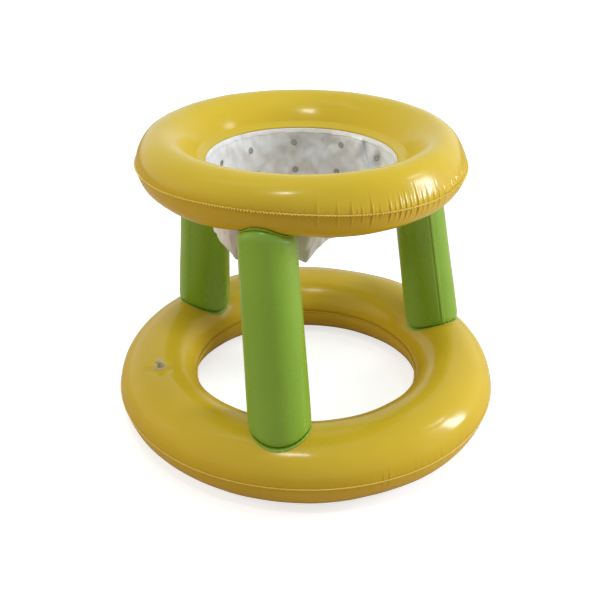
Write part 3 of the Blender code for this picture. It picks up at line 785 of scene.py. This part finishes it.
def build_ring_film(ring, side, marks):
    """One film of a ring, with the hole for its valve."""
    word = "upper" if side > 0 else "lower"
    bm = turned(film_loop(ring, side), RING_SEGMENTS)
    set_places(bm, blow_up(ring, side, marks, mesh_places(bm)), ring.centre)
    film = add_piece(f"{ring.name}_{word}_film", bm, "yellow_film",
                     [f"{ring.name}_ring_{word}_skin"])
    if (ring.name, side) in VALVE_SIDES:
        punches = bmesh.new()
        bmesh.ops.create_cone(punches, cap_ends=True, segments=VALVE_SEGMENTS,
                              radius1=VALVE_HOLE, radius2=VALVE_HOLE,
                              depth=VALVE_PUNCH_DEPTH, matrix=valve_frame(ring, side))
        punch(film, punches)


def build_outer_weld(ring):
    """The thin welded rim outside a ring, scalloped where the film is gathered."""
    reach, wave, waves = OUTER_WELDS[ring.name]
    start = ring.crest + ring.outer - WELD_IN
    end = ring.crest + ring.outer + WELD_OUT
    half = WELD_BACK
    bm = turned([(start, -half * WELD_FLARE), (end - half, -half), (end, -half * 0.5),
                 (end, half * 0.5), (end - half, half), (start, half * WELD_FLARE)],
                WELD_SEGMENTS)
    places = mesh_places(bm)
    angles = np.arctan2(places[:, 1], places[:, 0])
    radius = np.hypot(places[:, 0], places[:, 1])
    edge = np.clip((radius - start) / (end - start), 0.0, 1.0)
    drift = sum(size * np.sin(angles * count + shift) for size, count, shift in WELD_DRIFT)
    beat = np.sin(angles * waves + drift) + 0.25 * np.sin(angles * waves * 0.5 + 1.3)
    calm = 0.72 + 0.28 * np.sin(angles * 7.0 + 2.0) * np.sin(angles * 3.0 + 0.4)
    places[:, 2] += wave * beat * calm * edge
    facing = np.clip(-np.sin(angles) * 2.0, 0.0, 1.0)
    excess = WELD_OUT - (WELD_SIDE_REACH + (reach - WELD_SIDE_REACH) * facing)
    shrink = 1.0 - ((0.8 * wave * beat * calm + excess) * edge) / radius
    places[:, 0] *= shrink
    places[:, 1] *= shrink
    places[:, 2] += seam_rise_at(ring, np.degrees(angles) % 360.0)
    set_places(bm, places, ring.centre)
    # Its film is painted lighter than the ring's: a painted highlight where light catches the
    # weld's top.
    add_piece(f"{ring.name}_outer_weld", bm, "weld_film_painted_highlight")


def build_base_inner_weld():
    """The narrow welded rim round the base ring's hole."""
    start = base_ring.crest - base_ring.inner + WELD_IN
    end = base_ring.crest - base_ring.inner - RIM + INNER_WELD_SHORT
    half = WELD_BACK
    bm = turned([(start, -half * WELD_FLARE), (end + half, -half), (end, 0.0),
                 (end + half, half), (start, half * WELD_FLARE)], WELD_SEGMENTS // 2)
    set_places(bm, mesh_places(bm), base_ring.centre)
    add_piece("base_inner_weld", bm, "yellow_film")


# Legs

def leg_ends(name):
    """Foot and top of a leg's axis, on the faces of the rings."""
    inset_crest = base_ring.crest - LEG_FOOT_INSET
    foot = base_ring.centre + inset_crest * direction(LEG_FOOT_ANGLES[name])
    foot.z = base_ring.height(1, foot.x, foot.y)
    top = hoop_ring.centre + hoop_ring.crest * direction(LEG_TOP_ANGLES[name])
    top.z = hoop_ring.height(-1, top.x, top.y)
    return foot, top


def leg_frame(foot, top):
    """Columns of a leg's own axes: Z runs up along it."""
    axis = (top - foot).normalized()
    across = Vector((0.0, 1.0, 0.0)).cross(axis).normalized()
    return across, axis.cross(across), axis


def sideways(columns, turn):
    """The direction at a turn round a leg's axis."""
    return columns[0] * math.cos(turn) + columns[1] * math.sin(turn)


def seat_offset(ring, side, start, axis):
    """How far along the axis a line through start meets the ring's face."""
    place = start.copy()
    for _ in range(10):
        place += axis * ((ring.height(side, place.x, place.y) - place.z) / axis.z)
    return (place - start).dot(axis)


def shoulder_inset(away, height, draw_in):
    """How much the tube's radius is drawn in at a distance from its end."""
    if away >= height:
        return 0.0
    share = 1.0 - max(0.0, away) / height
    return draw_in * (1.0 - math.sqrt(max(0.0, 1.0 - share ** SHOULDER_POWER)))


def leg_seam_rise(away, radius):
    """The lap seam along a leg: a raised ridge with a fine groove beside it."""
    along = away * radius
    rise = SEAM_RIDGE * math.exp(-abs(along) / SEAM_RIDGE_WIDTH)
    rise -= SEAM_GROOVE * math.exp(-((along + SEAM_GROOVE_OFFSET) / SEAM_GROOVE_WIDTH) ** 2)
    if 0.0 <= along < SEAM_LAP_WIDTH:
        rise += SEAM_LAP
    return rise


def build_leg(name):
    """A blown-up tube of film that ends on both rings."""
    foot, top = leg_ends(name)
    columns = leg_frame(foot, top)
    axis = columns[2]
    span = (top - foot).length
    foot_end = LEG_FOOT_RADIUS - FOOT_DRAW_IN
    top_end = LEG_TOP_RADIUS - TOP_DRAW_IN
    bm = turned([(1.0, 0.5 - 0.5 * math.cos(math.pi * row / LEG_ROWS))
                 for row in range(LEG_ROWS + 1)], LEG_SEGMENTS, closed=False)
    seats = {}
    seed = Vector((LEG_FOOT_ANGLES[name], 0.0, 0.0))
    seam = math.radians(LEG_SEAM_ANGLES[name])
    for vert in bm.verts:
        turn = math.atan2(vert.co.y, vert.co.x)
        key = round(turn, 5)
        if key not in seats:
            side_dir = sideways(columns, turn)
            low = seat_offset(base_ring, 1, foot + side_dir * foot_end, axis)
            high = span + seat_offset(hoop_ring, -1, top + side_dir * top_end, axis)
            seats[key] = (side_dir, low, high)
        side_dir, low, high = seats[key]
        along = low + (high - low) * vert.co.z
        radius = LEG_FOOT_RADIUS + (LEG_TOP_RADIUS - LEG_FOOT_RADIUS) * along / span
        away = (turn - seam + math.pi) % math.tau - math.pi
        ends = min(1.0, (along - low) / LEG_END_FADE, (high - along) / LEG_END_FADE)
        ridge = leg_seam_rise(away, radius) * ends
        radius -= shoulder_inset(along - low, FOOT_SHOULDER, FOOT_DRAW_IN)
        radius -= shoulder_inset(high - along, TOP_SHOULDER, TOP_DRAW_IN)
        place = foot + axis * along
        swell = noise.noise(seed + (place + side_dir * LEG_SWELL_SPREAD) * LEG_SWELL_SCALE)
        radius += ridge + LEG_SWELL * swell * ends
        vert.co = place + side_dir * radius
    tube = add_piece(f"{name}_leg_film", bm, "green_film",
                     [f"{name}_leg_tube"],
                     outwards=lambda point: point - foot - axis * (point - foot).dot(axis))
    add_wall(tube, FILM)
    build_leg_rim(name, "foot", foot, columns, base_ring, 1, foot_end, FOOT_RIM_RADIUS)
    build_leg_rim(name, "top", top, columns, hoop_ring, -1, top_end, TOP_RIM_RADIUS)


def build_leg_rim(name, end, start, columns, ring, side, inner, outer):
    """The edge of a leg's disc, welded to the ring round the tube's end."""
    axis = columns[2]
    section = [(inner - LEG_RIM_TUCK, 0.0), (inner - LEG_RIM_TUCK, LEG_RIM_BACK)]
    section += [(outer + offset, height) for offset, height in LEG_RIM_EDGE]
    bm = turned(section, LEG_SEGMENTS)
    for vert in bm.verts:
        turn = math.atan2(vert.co.y, vert.co.x)
        radius = math.hypot(vert.co.x, vert.co.y)
        side_dir = sideways(columns, turn)
        seat = seat_offset(ring, side, start + side_dir * radius, axis)
        wave = 1.0 + LEG_RIM_WAVE * math.sin(turn * LEG_RIM_WAVES) * (radius > inner)
        vert.co = start + side_dir * radius + axis * (seat + side * vert.co.z * wave)
    add_piece(f"{name}_leg_{end}_rim", bm, "green_film",
              [f"{name}_leg_{end}_disc"])


# Net skirt. A column is a line down the sheet, and a share says how far down it.

def fold_share(angle):
    """Depth of the main folds at an angle, as a share of the radius."""
    total = 0.0
    for middle, half_width, share in FOLDS:
        total += share * math.exp(-(turn_between(angle, middle) / half_width) ** 2)
    return total


def hem_drop(angle):
    """How far the sheet hangs down at an angle."""
    angles, shares = zip(*HEM_DROP)
    return SKIRT_DROP * float(np.interp(angle, angles, shares, period=360.0))


def lap_turn(column, share):
    """How far the sheet's columns lean with the lap's slanting line, in degrees."""
    lean = -LAP_SLANT * max(0.0, share - LAP_TOP)
    return lean * math.exp(-(turn_between(column, LAP_ANGLE) / LAP_SPREAD) ** 2)


def column_at(angle, share):
    """The column that passes an angle at a share of the way down."""
    column = angle
    for _ in range(12):
        column = angle - lap_turn(column, share)
    return column


def lap_fold(column, share):
    """Where the sheet's two ends overlap: the front end stands off and hides the
    back one. Returns a turn along the sheet and a step across it."""
    away = turn_between(column, LAP_ANGLE)
    amount = min(1.0, max(0.0, (share - LAP_FROM) / LAP_GROWTH))
    shift = -math.copysign(LAP_TUCK * math.exp(-abs(away) / LAP_TUCK_WIDTH), away) * amount
    step = -LAP_STEP * amount * math.exp(-away / LAP_STEP_WIDTH) if away > 0.0 else 0.0
    return shift, step


def crease_depth(angle, share):
    """How far the creases push the sheet out."""
    total = 0.0
    for middle, half_width, first, last, depth in CREASES:
        if not first - CREASE_FADE < share < last + CREASE_FADE:
            continue
        away = abs(turn_between(angle, middle))
        ends = min(1.0, (share - first + CREASE_FADE) / CREASE_FADE,
                   (last + CREASE_FADE - share) / CREASE_FADE)
        total += depth * ends * math.exp(-away / half_width)
    return total


def skirt_place(column, share):
    """A point of the hanging sheet, below its bend under the weld."""
    angle = column + lap_turn(column, share)
    shift, step = lap_fold(column, share)
    radius = skirt_top_radius - SKIRT_TAPER * share
    radius += skirt_top_radius * fold_share(angle) * share ** 1.5 + step
    turn = math.radians(angle)
    spot = Vector((math.cos(turn) * 2.2, math.sin(turn) * 2.2, share * 1.1))
    for scale, depth, pace in SHEET_SWELLS:
        amount = min(1.0, share * pace) if pace else share
        radius += depth * noise.noise(spot * scale) * amount
    radius += crease_depth(angle, share)
    gather = Vector((math.cos(turn) * 9.0, math.sin(turn) * 9.0, share * 2.0))
    held = min(1.0, share * 9.0) * math.exp(-share * 3.0)
    radius -= SHEET_GATHER * abs(noise.noise(gather)) * held
    turn += math.radians(shift)
    level = skirt_bend - hem_drop(angle % 360.0) * share
    return Vector((radius * math.cos(turn), radius * math.sin(turn), level))


def build_skirt_band():
    """The bright welded edge of the sheet, doubled over under the ring's weld."""
    bm = turned([(1.0, float(row)) for row in range(BAND_ROWS + 1)], SKIRT_SEGMENTS,
                closed=False)
    for vert in bm.verts:
        turn = math.atan2(vert.co.y, vert.co.x)
        depth = BAND_DEPTH + BAND_LEAN * (math.sin(turn * BAND_WAVES) - math.sin(turn))
        share = vert.co.z / BAND_ROWS * depth / hem_drop(math.degrees(turn) % 360.0)
        place = skirt_place(math.degrees(turn), share)
        spread = math.hypot(place.x, place.y)
        place.x *= (spread - BAND_STAND_OFF) / spread
        place.y *= (spread - BAND_STAND_OFF) / spread
        vert.co = hoop_ring.centre + place
    band = add_piece("skirt_weld_band", bm, "white_band",
                     outwards=from_hoop_axis)
    add_wall(band, BAND_THICKNESS, 0.0)
    return band


def hole_places():
    """Angle and depth below the bend of every punched hole."""
    for row, (depth, first) in enumerate(HOLE_ROWS):
        for step in range(HOLES_ROUND):
            turn_by, drop_by = HOLE_SHIFTS.get((row, step), (0.0, 0.0))
            yield (first + 360.0 / HOLES_ROUND * step + turn_by) % 360.0, depth + drop_by


def build_hole_shade_discs():
    """Grey discs round the sheet's punched holes: painted shade, standing in for the shade seen
    through each hole.
    """
    bm = bmesh.new()
    for angle, depth in hole_places():
        share = depth / hem_drop(angle)
        if share > HOLE_LOWEST:
            continue
        column = column_at(angle, share)
        here = skirt_place(column, share)
        along = (skirt_place(column + RIM_TURN, share) - here).normalized()
        down = (skirt_place(column, share + RIM_SHARE) - here).normalized()
        face = along.cross(down).normalized()
        axes = Matrix((along, face.cross(along), face)).transposed().to_4x4()
        rim = turned(HOLE_SHADE_DISC, RIM_SEGMENTS)
        place = Matrix.Translation(hoop_ring.centre + here) @ axes
        bmesh.ops.transform(rim, matrix=place, verts=rim.verts)
        rim_mesh = bpy.data.meshes.new("rim")
        rim.to_mesh(rim_mesh)
        rim.free()
        bm.from_mesh(rim_mesh)
        bpy.data.meshes.remove(rim_mesh)
    return add_piece("hole_shade_discs", bm, "hole_shade_disc")


def store_sheet_painted_shades(sheet):
    """Painted shade on the sheet, by angle and by height below the bend."""
    stored = sheet.data.attributes.new("sheet_painted_shade", "FLOAT_COLOR", "POINT")
    for vert in sheet.data.vertices:
        place = vert.co - hoop_ring.centre
        angle = math.degrees(math.atan2(place.y, place.x))
        drop = skirt_bend - place.z
        tone = Vector((1.0, 1.0, 1.0))
        for where, half_width, high, low, colour in SHEET_PAINTED_SHADES:
            away = turn_between(angle, where)
            over = max(0.0, high - drop, drop - low) / PAINTED_SHADE_FADE
            tone = tone.lerp(Vector(colour), math.exp(-(away / half_width) ** 2 - over ** 2))
        stored.data[vert.index].color = (*tone, 1.0)


def build_skirt():
    """The thin sheet that hangs from the hoop's inner weld as its net. Its first row
    lies in the weld."""
    bm = turned([(1.0, float(row)) for row in range(-1, SKIRT_ROWS + 1)], SKIRT_SEGMENTS,
                closed=False)
    for vert in bm.verts:
        angle = math.degrees(math.atan2(vert.co.y, vert.co.x))
        row = round(vert.co.z)
        if row < 0:
            place = direction(angle) * (skirt_top_radius + SKIRT_WELD_REACH)
            place.z = skirt_bend + SKIRT_WELD_RISE
        else:
            place = skirt_place(angle, row / SKIRT_ROWS)
        vert.co = hoop_ring.centre + place
    sheet = add_piece("net_sheet", bm, "white_sheet", ["net_skirt"],
                      outwards=from_hoop_axis)
    add_wall(sheet, SHEET_FILM, 0.0)
    punches = bmesh.new()
    for angle, depth in hole_places():
        across = direction(angle)
        start = hoop_ring.centre + across * (skirt_top_radius * PUNCH_MIDDLE)
        start.z += skirt_bend - depth
        aim = across.to_track_quat("Z", "Y").to_matrix().to_4x4()
        bmesh.ops.create_cone(punches, cap_ends=True, segments=HOLE_SEGMENTS,
                              radius1=HOLE_RADIUS, radius2=HOLE_RADIUS,
                              depth=skirt_top_radius * PUNCH_LENGTH,
                              matrix=Matrix.Translation(start) @ aim)
    punch(sheet, punches)
    store_sheet_painted_shades(sheet)
    band = build_skirt_band()
    rims = build_hole_shade_discs()


# Valves

def add_tab(bm, low, high):
    """A small block with rounded edges, between two corners."""
    made = bmesh.ops.create_cube(bm, size=1.0)["verts"]
    size = [last - first for first, last in zip(low, high)]
    middle = [(last + first) / 2 for first, last in zip(low, high)]
    bmesh.ops.scale(bm, vec=size, verts=made)
    bmesh.ops.translate(bm, vec=middle, verts=made)
    edges = list({edge for vert in made for edge in vert.link_edges})
    bmesh.ops.bevel(bm, geom=edges, offset=min(size) * TAB_ROUNDING, offset_type="OFFSET",
                    affect="EDGES", segments=2, profile=0.5, material=-1)


def build_valve(ring, side):
    """The collar, stem, plug and flap of one valve, each on its own body."""
    name = ring.name
    pieces = (
        ("collar", COLLAR_PROFILE, None, "hoop", "seat"),
        ("tube", STEM_PROFILE, EAR_BOX, f"{name}_stem", "stem"),
        ("cap", PLUG_PROFILE, STRAP_BOX, f"{name}_plug", "plug"),
        ("leaf", FLAP_PROFILE, None, f"{name}_flap", "flap"),
    )
    for word, profile, tab, body, node in pieces:
        bm = turned(profile, VALVE_SEGMENTS, closed=profile[0][0] > 0.0)
        bmesh.ops.remove_doubles(bm, verts=bm.verts, dist=MERGE / 2)
        if tab:
            add_tab(bm, *tab)
        bmesh.ops.transform(bm, matrix=valve_frame(ring, side), verts=bm.verts)
        piece = add_piece(f"{name}_valve_{word}", bm, "valve_vinyl",
                          [f"{name}_valve_{node}"], body)
        piece.data.set_sharp_from_angle(angle=math.radians(SHARP_EDGE))


# Floor, light and camera

def build_floor():
    """A plain pale floor that gives back warm light, shows white to the camera and
    keeps the shadow. Far from the part, where lamps hardly reach it, it glows more."""
    bm = bmesh.new()
    bmesh.ops.create_grid(bm, x_segments=1, y_segments=1, size=FLOOR_HALF)
    floor = add_object("floor", bm)
    material = bpy.data.materials.new("pale_floor")
    material.use_nodes = True
    tree = material.node_tree
    tree.nodes.clear()
    output = add_node(tree, "OutputMaterial")
    plain = add_node(tree, "BsdfDiffuse", {"Color": FLOOR_WARM})
    seen = add_node(tree, "BsdfDiffuse", {"Color": FLOOR_SEEN})
    place = add_node(tree, "NewGeometry")
    away = add_node(tree, "VectorMath", operation="LENGTH")
    fade = add_node(tree, "MapRange", FLOOR_GLOW)
    glow = add_node(tree, "Emission")
    lit = add_node(tree, "AddShader")
    ray = add_node(tree, "LightPath")
    choice = add_node(tree, "MixShader")
    wire(tree,
         (place, "Position", away, 0), (away, "Value", fade, "Value"),
         (fade, "Result", glow, "Strength"), (seen, "BSDF", lit, 0),
         (glow, "Emission", lit, 1), (ray, "Is Camera Ray", choice, "Fac"),
         (plain, "BSDF", choice, 1), (lit, "Shader", choice, 2),
         (choice, "Shader", output, "Surface"))
    floor.data.materials.append(material)


def build_world():
    """Soft even light, and white behind the part."""
    world = bpy.data.worlds.new("studio")
    bpy.context.scene.world = world
    world.use_nodes = True
    tree = world.node_tree
    tree.nodes.clear()
    output = add_node(tree, "OutputWorld")
    soft = add_node(tree, "Background", {"Color": WHITE, "Strength": SOFT_LIGHT})
    white = add_node(tree, "Background", {"Color": WHITE, "Strength": 1.0})
    ray = add_node(tree, "LightPath")
    through = add_node(tree, "Math", operation="ADD")
    every = add_node(tree, "Math", operation="ADD")
    choice = add_node(tree, "MixShader")
    wire(tree,
         (ray, "Is Camera Ray", through, 0), (ray, "Is Transmission Ray", through, 1),
         (through, "Value", every, 0), (ray, "Is Glossy Ray", every, 1),
         (every, "Value", choice, "Fac"), (soft, "Background", choice, 1),
         (white, "Background", choice, 2), (choice, "Shader", output, "Surface"))


def add_lamp(name, azimuth, elevation, distance, width, height, level, tint, mirrored):
    """An area lamp; at level 1 a white face turned to it renders white."""
    turn, lift = math.radians(azimuth), math.radians(elevation)
    away = Vector((math.cos(turn) * math.cos(lift), math.sin(turn) * math.cos(lift),
                   math.sin(lift)))
    data = bpy.data.lights.new(name, "AREA")
    data.shape = "RECTANGLE"
    data.size = width
    data.size_y = height
    data.energy = level * math.pi ** 2 * distance ** 2
    data.color = tint
    lamp = bpy.data.objects.new(name, data)
    bpy.context.collection.objects.link(lamp)
    lamp.location = LAMP_AIM + away * distance
    lamp.rotation_euler = away.to_track_quat("Z", "Y").to_euler()
    lamp.visible_glossy = mirrored


def build_camera():
    """The camera of the photograph."""
    data = bpy.data.cameras.new("camera")
    data.sensor_width = SENSOR
    data.lens = FOCAL_PIXELS / PICTURE * SENSOR
    data.shift_x = SHIFT_PIXELS / PICTURE
    data.clip_start = CLIP_START
    camera = bpy.data.objects.new("camera", data)
    bpy.context.collection.objects.link(camera)
    look = Euler((math.pi / 2 - CAMERA_PITCH, 0.0, 0.0)).to_matrix()
    camera.rotation_euler = (look @ Matrix.Rotation(CAMERA_ROLL, 3, "Z")).to_euler()
    camera.location = CAMERA_PLACE
    bpy.context.scene.camera = camera


for ring, marks in ((base_ring, base_puckers()), (hoop_ring, hoop_puckers())):
    build_ring_film(ring, 1, marks)
    build_ring_film(ring, -1, marks)
for ring in (base_ring, hoop_ring):
    build_outer_weld(ring)
build_base_inner_weld()
for name in LEG_FOOT_ANGLES:
    build_leg(name)
build_skirt()
build_valve(base_ring, 1)
build_valve(hoop_ring, -1)

build_floor()
build_world()
for name, values in LAMPS.items():
    add_lamp(name, *values)
build_camera()
bpy.context.scene.view_settings.view_transform = "Standard"
